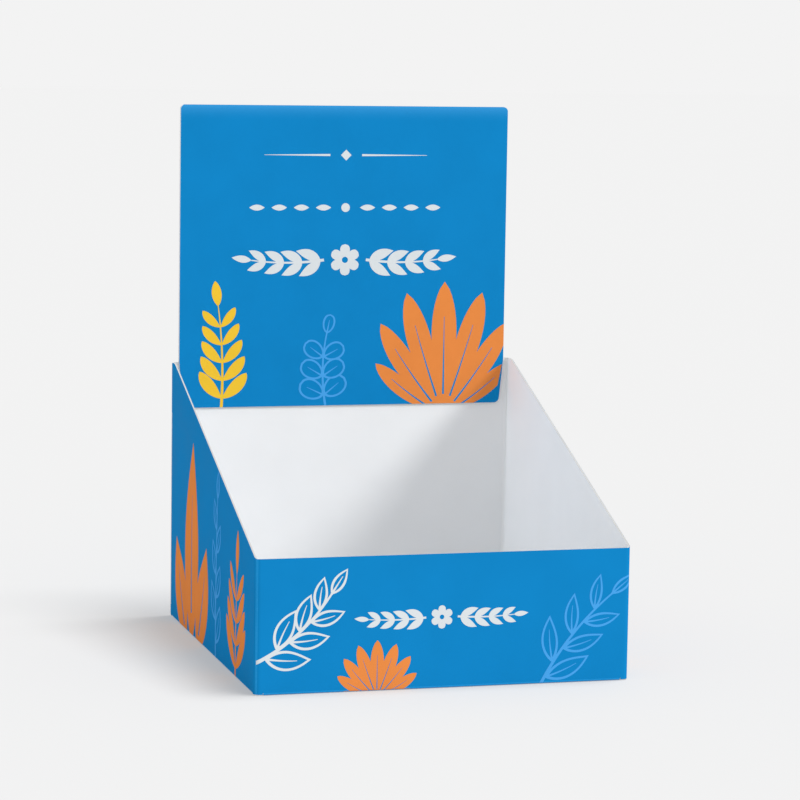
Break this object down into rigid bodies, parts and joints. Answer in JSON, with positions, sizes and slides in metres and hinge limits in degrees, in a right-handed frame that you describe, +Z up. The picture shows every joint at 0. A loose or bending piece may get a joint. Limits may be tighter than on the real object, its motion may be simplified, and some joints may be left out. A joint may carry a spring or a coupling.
{
  "type": "counter display box",
  "caption": "Open counter display box of folded printed board: a tray with a low front, sloping sides and a tall fold-over header at the back.",
  "frame": {"origin": "middle of the footprint, on the surface that the box stands on", "axes": "+Z up, the low front wall faces -Y, +X to the right as seen from the front"},
  "size_m": [0.2, 0.22, 0.292],
  "materials": {
    "printed_board": "matte",
    "orange_ink": "matte",
    "yellow_ink": "matte",
    "light_blue_ink": "matte",
    "white_ink": "matte"
  },
  "bodies": {
    "root": {"display_box": "printed_board"}
  },
  "joints": []
}
